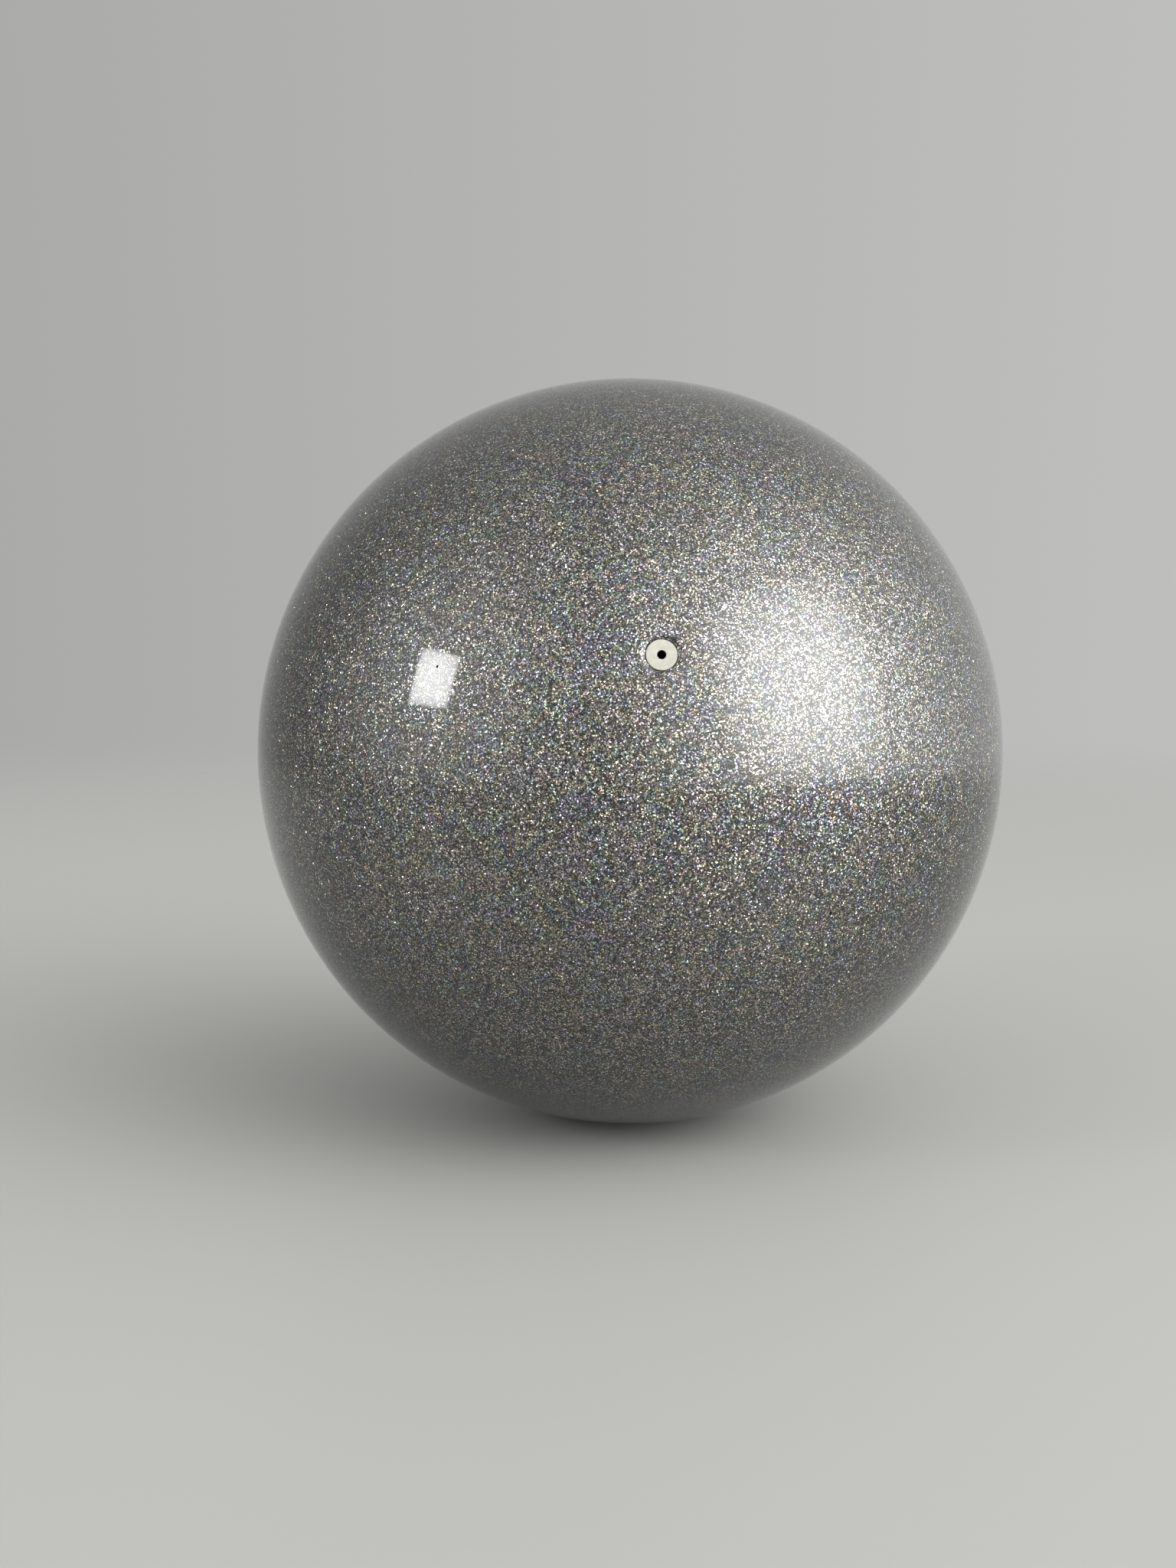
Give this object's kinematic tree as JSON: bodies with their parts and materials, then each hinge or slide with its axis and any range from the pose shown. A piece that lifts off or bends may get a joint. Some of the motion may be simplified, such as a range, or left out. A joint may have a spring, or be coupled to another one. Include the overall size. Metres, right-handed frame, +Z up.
{
  "type": "rhythmic gymnastics ball",
  "caption": "Inflated rhythmic gymnastics ball with a glossy silver glitter coat over a rubber wall and a flush needle valve whose plug pulls out.",
  "frame": {"origin": "centre of the ball", "axes": "+Z up as the ball lies in the picture, -Y towards the viewer; the valve is on the -Y side, its axis in the YZ plane and raised 16.7 degrees above -Y"},
  "size_m": [0.1846, 0.1849, 0.185],
  "materials": {
    "glitter_lacquer": "gloss",
    "wall_rubber": "matte",
    "housing_rubber": "matte",
    "core_rubber": "matte"
  },
  "bodies": {
    "ball": {"glitter_coat": "glitter_lacquer", "rubber_wall": "wall_rubber", "valve_housing": "housing_rubber"},
    "core": {"valve_core": "core_rubber"}
  },
  "joints": [
    {"name": "valve_core_pull", "type": "slide", "parent": "ball", "child": "core", "axis": [0, -0.9578, 0.2874], "range_m": [0, 0.017]}
  ]
}
